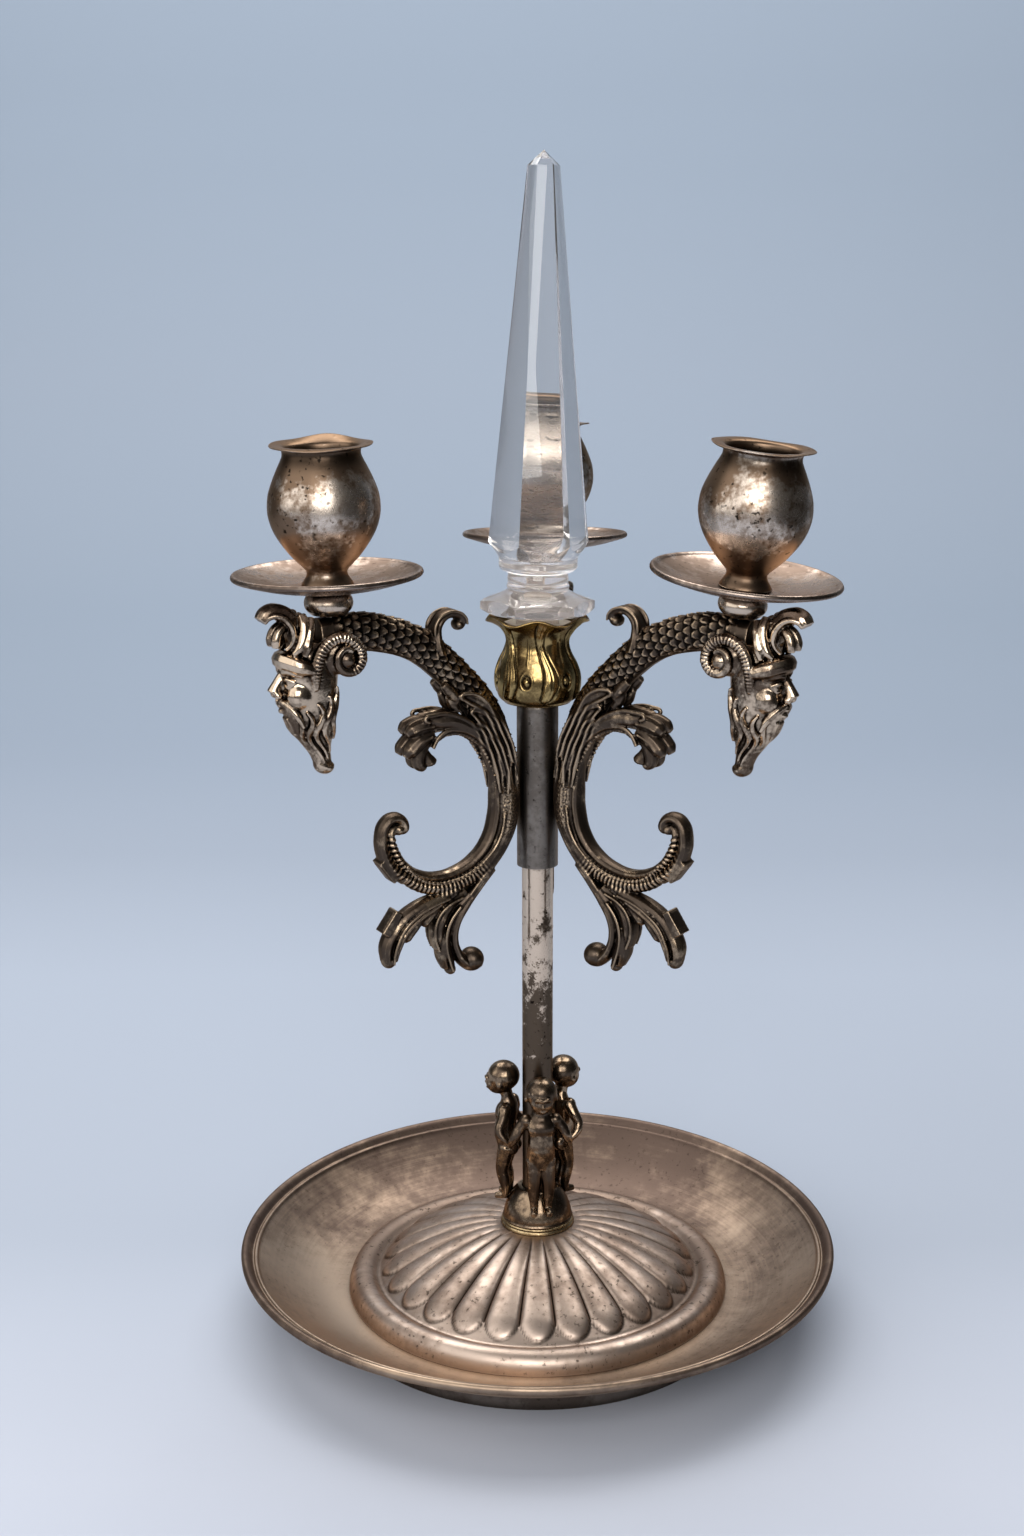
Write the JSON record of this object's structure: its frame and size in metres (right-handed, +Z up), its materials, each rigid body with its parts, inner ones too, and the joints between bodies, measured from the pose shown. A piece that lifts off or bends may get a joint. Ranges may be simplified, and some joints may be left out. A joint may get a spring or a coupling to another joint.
{
  "type": "candelabrum",
  "caption": "Table candelabrum: fluted dish base, cast figures at the stem, turning branch of scroll arms with masks, drip pans and candle cups, glass obelisk finial.",
  "frame": {"origin": "centre of the object's box on the table plane, on the stem's axis to within a millimetre", "axes": "+Z up the stem; +X to the right and -Y towards the viewer of the picture"},
  "size_m": [0.192, 0.1939, 0.3653],
  "materials": {
    "silver": "tarnished silver plate",
    "steel": "dark worn steel grey",
    "castBrass": "cast, silvered, worn to brass",
    "gilt": "gilt",
    "bronze": "dark bronze patina",
    "glass": "clear, chipped",
    "plaster": "dry plaster"
  },
  "bodies": {
    "base": {"foot_ring": "silver", "base_dish": "silver", "fluted_dome": "silver", "collar_ring": "gilt", "figure_mound": "bronze", "putto_1": "bronze", "putto_2": "bronze", "putto_3": "bronze", "stem_tube": "silver", "base_washer": "steel", "base_nut": "steel", "cup_spacer": "gilt", "finial_cup": "gilt", "rod_nut": "steel", "tie_rod": "steel", "plaster_bed": "plaster", "obelisk": "glass"},
    "branch": {"arm_sleeve": "steel", "sleeve_bush": "steel", "arm_scroll_1": "castBrass", "arm_mask_1": "castBrass", "knop_1": "silver", "drip_pan_1": "silver", "candle_cup_1": "silver", "cup_screw_1": "steel", "arm_scroll_2": "castBrass", "arm_mask_2": "castBrass", "knop_2": "silver", "drip_pan_2": "silver", "candle_cup_2": "silver", "cup_screw_2": "steel", "arm_scroll_3": "castBrass", "arm_mask_3": "castBrass", "knop_3": "silver", "drip_pan_3": "silver", "candle_cup_3": "silver", "cup_screw_3": "steel"}
  },
  "joints": [
    {"name": "branch_swivel", "type": "hinge", "parent": "base", "child": "branch", "pos_m": [0, 0, 0.1752], "axis": [0, 0, 1], "continuous": true}
  ]
}
